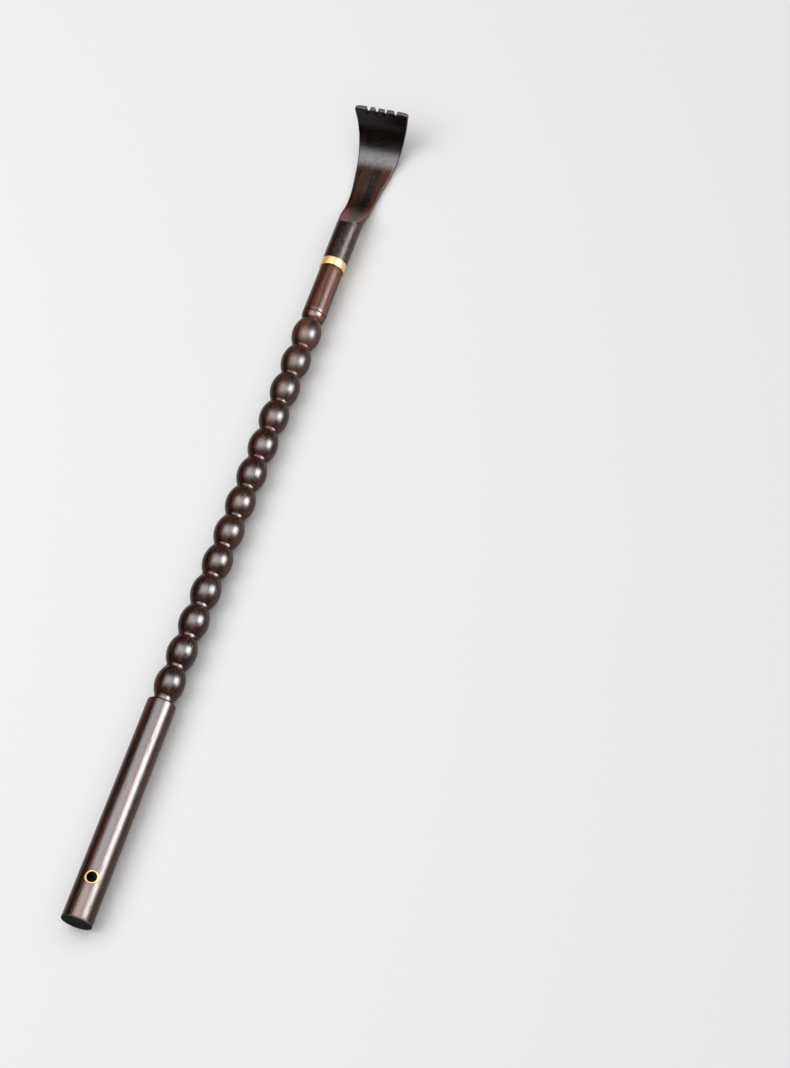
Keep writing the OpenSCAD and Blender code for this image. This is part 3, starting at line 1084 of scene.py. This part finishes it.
def pale_paper():
    material, _, shader = new_material("pale_floor")
    shader.inputs["Base Color"].default_value = FLOOR_COLOUR
    shader.inputs["Roughness"].default_value = FLOOR_ROUGH
    shader.inputs["Specular IOR Level"].default_value = FLOOR_SPECULAR
    return material


def make_floor(material):
    deselect()
    bpy.ops.mesh.primitive_plane_add(size=FLOOR_SIZE)
    floor = bpy.context.object
    floor.name = "floor"
    floor.data.materials.append(material)
    return floor


def make_camera():
    data = bpy.data.cameras.new("photo_camera")
    data.sensor_width = SENSOR
    data.lens = FOCAL_PIXELS / PHOTO_H * SENSOR
    data.clip_start = CLIP_START
    data.clip_end = CLIP_END
    camera = bpy.data.objects.new("photo_camera", data)
    bpy.context.scene.collection.objects.link(camera)
    right = (CAMERA_RIGHT - CAMERA_FORWARD * CAMERA_RIGHT.dot(CAMERA_FORWARD)).normalized()
    up = right.cross(CAMERA_FORWARD)
    place = Vector((BUTT_X, 0, AXIS.z)) + CAMERA_FROM_BUTT
    turn_to = Matrix((right, up, -CAMERA_FORWARD)).transposed().to_4x4()
    camera.matrix_world = Matrix.Translation(place) @ turn_to
    bpy.context.scene.camera = camera


def make_lamp(name, x, turned, distance, size, radiance):
    """A soft box that hangs over a place along the shaft, turned around the shaft to its left side,
    in degrees from straight above. It faces the shaft, and its size is along and across it."""
    data = bpy.data.lights.new(name, "AREA")
    data.shape = "RECTANGLE"
    data.size, data.size_y = size
    data.energy = radiance * pi * size[0] * size[1]
    lamp = bpy.data.objects.new(name, data)
    bpy.context.scene.collection.objects.link(lamp)
    angle = radians(turned)
    lamp.location = (x, distance * sin(angle), distance * cos(angle))
    lamp.rotation_euler = (-angle, 0, 0)
    lamp.visible_camera = False
    return lamp


def light_only(lamp, pieces):
    """Lets a lamp shine on these pieces and on nothing else."""
    lit = bpy.data.collections.new(lamp.name + "_pieces")
    for piece in pieces:
        lit.objects.link(piece)
    lamp.light_linking.receiver_collection = lit


def make_panel(name, pieces, x, turned, distance, layers):
    """A soft box that grows brighter from its rim to its middle, and only shows as a reflection in
    these pieces. Its layers hang one in front of the other, because two lamps in one plane hide
    each other."""
    behind = 0
    for number, (size, radiance) in enumerate(layers):
        nearer = distance - LAYER_GAP * number
        lamp = make_lamp(name + "_" + str(number), x, turned, nearer, size, radiance - behind)
        lamp.visible_diffuse = False
        light_only(lamp, pieces)
        behind = radiance


def make_lamps(floor, shaft, head, metal):
    """Lamps for the plain level of light, and panels for the wood and for the brass."""
    wood = (shaft, head)
    soft_light = make_lamp("soft_light", *SOFT_LIGHT)
    light_only(soft_light, (floor, *metal))
    wood_light = make_lamp("wood_light", *WOOD_LIGHT)
    light_only(wood_light, wood)
    for lamp in (soft_light, wood_light, make_lamp("sky", *SKY)):
        lamp.visible_glossy = False
    make_panel("broad_panel", wood, *BROAD_PANEL)
    make_panel("side_panel", wood, *SIDE_PANEL)
    make_panel("neck_panel", (head,), *NECK_PANEL)
    make_panel("metal_panel", metal, *METAL_PANEL)
    make_panel("metal_left", metal, *METAL_LEFT)
    make_panel("metal_side", metal, *METAL_SIDE)


def make_world():
    world = bpy.data.worlds.new("studio")
    world.use_nodes = True
    background = world.node_tree.nodes["Background"]
    background.inputs["Color"].default_value = (1, 1, 1, 1)
    background.inputs["Strength"].default_value = WORLD_STRENGTH
    bpy.context.scene.world = world


shaft_wood = rosewood("shaft_wood", SHAFT_GRAIN, shaft_marks, BUTT_COLOUR)
# The head's filed ends take the grey of a painted sheen
head_wood = rosewood("head_wood", HEAD_GRAIN, head_marks, FILED_SHEEN_COLOUR)
ring_middle = Vector(((STEM_TOP_X + HEAD_X) / 2, 0, AXIS.z))
ring_metal = brass("ring_metal", ring_middle, (0, 0, 0), (1, 0, 0), RING_CLEAN_FROM)
hole_middle = Vector((HANG_X, 0, AXIS.z))
liner_metal = brass(
    "liner_metal", hole_middle, (-HANG_TURN, 0, 0), (1, 1, 0), LINER_CLEAN_FROM)

shaft = make_shaft(shaft_wood)
head = make_head(head_wood)
ring = make_ring(ring_metal)
liner = make_liner(liner_metal)

floor = make_floor(pale_paper())
make_lamps(floor, shaft, head, (ring, liner))
make_world()
make_camera()
bpy.context.scene.view_settings.view_transform = "Standard"
